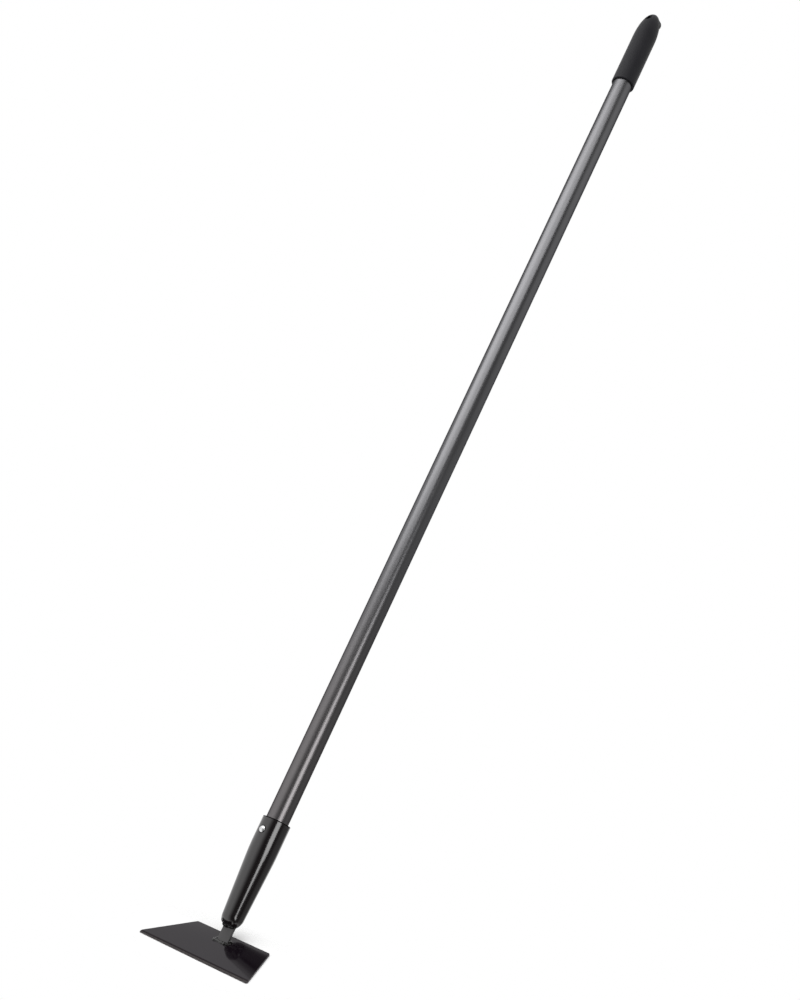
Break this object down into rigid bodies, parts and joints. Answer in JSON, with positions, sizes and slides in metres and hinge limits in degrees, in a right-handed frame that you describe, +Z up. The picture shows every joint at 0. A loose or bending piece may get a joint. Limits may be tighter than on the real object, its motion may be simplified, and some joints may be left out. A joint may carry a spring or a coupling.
{
  "type": "dutch hoe",
  "caption": "Push hoe with a flat trapezoid blade welded to a tang, a tapered steel socket riveted to a long tube handle, and a moulded grip with a hang hole.",
  "frame": {"origin": "where the handle axis meets the flat underside of the blade", "axes": "+X along the cutting edge, -Y from the handle towards the cutting edge, +Z up from the blade; the handle lies in the plane X = 0 and leans back towards +Y"},
  "size_m": [0.1854, 0.9084, 1.1369],
  "materials": {
    "black_steel": "satin black paint",
    "gloss_black_steel": "gloss black paint",
    "grey_tube": "gunmetal grey metallic paint",
    "grip_plastic": "fine matt moulded texture",
    "rivet_aluminium": "bright drawn aluminium",
    "pin_steel": "drawn steel, broken end"
  },
  "bodies": {
    "root": {"blade": "black_steel", "tang": "black_steel", "tang_weld": "black_steel", "socket": "gloss_black_steel", "socket_weld": "gloss_black_steel", "rivet_body": "rivet_aluminium", "rivet_mandrel": "pin_steel", "handle_tube": "grey_tube", "hand_grip": "grip_plastic"}
  },
  "joints": []
}
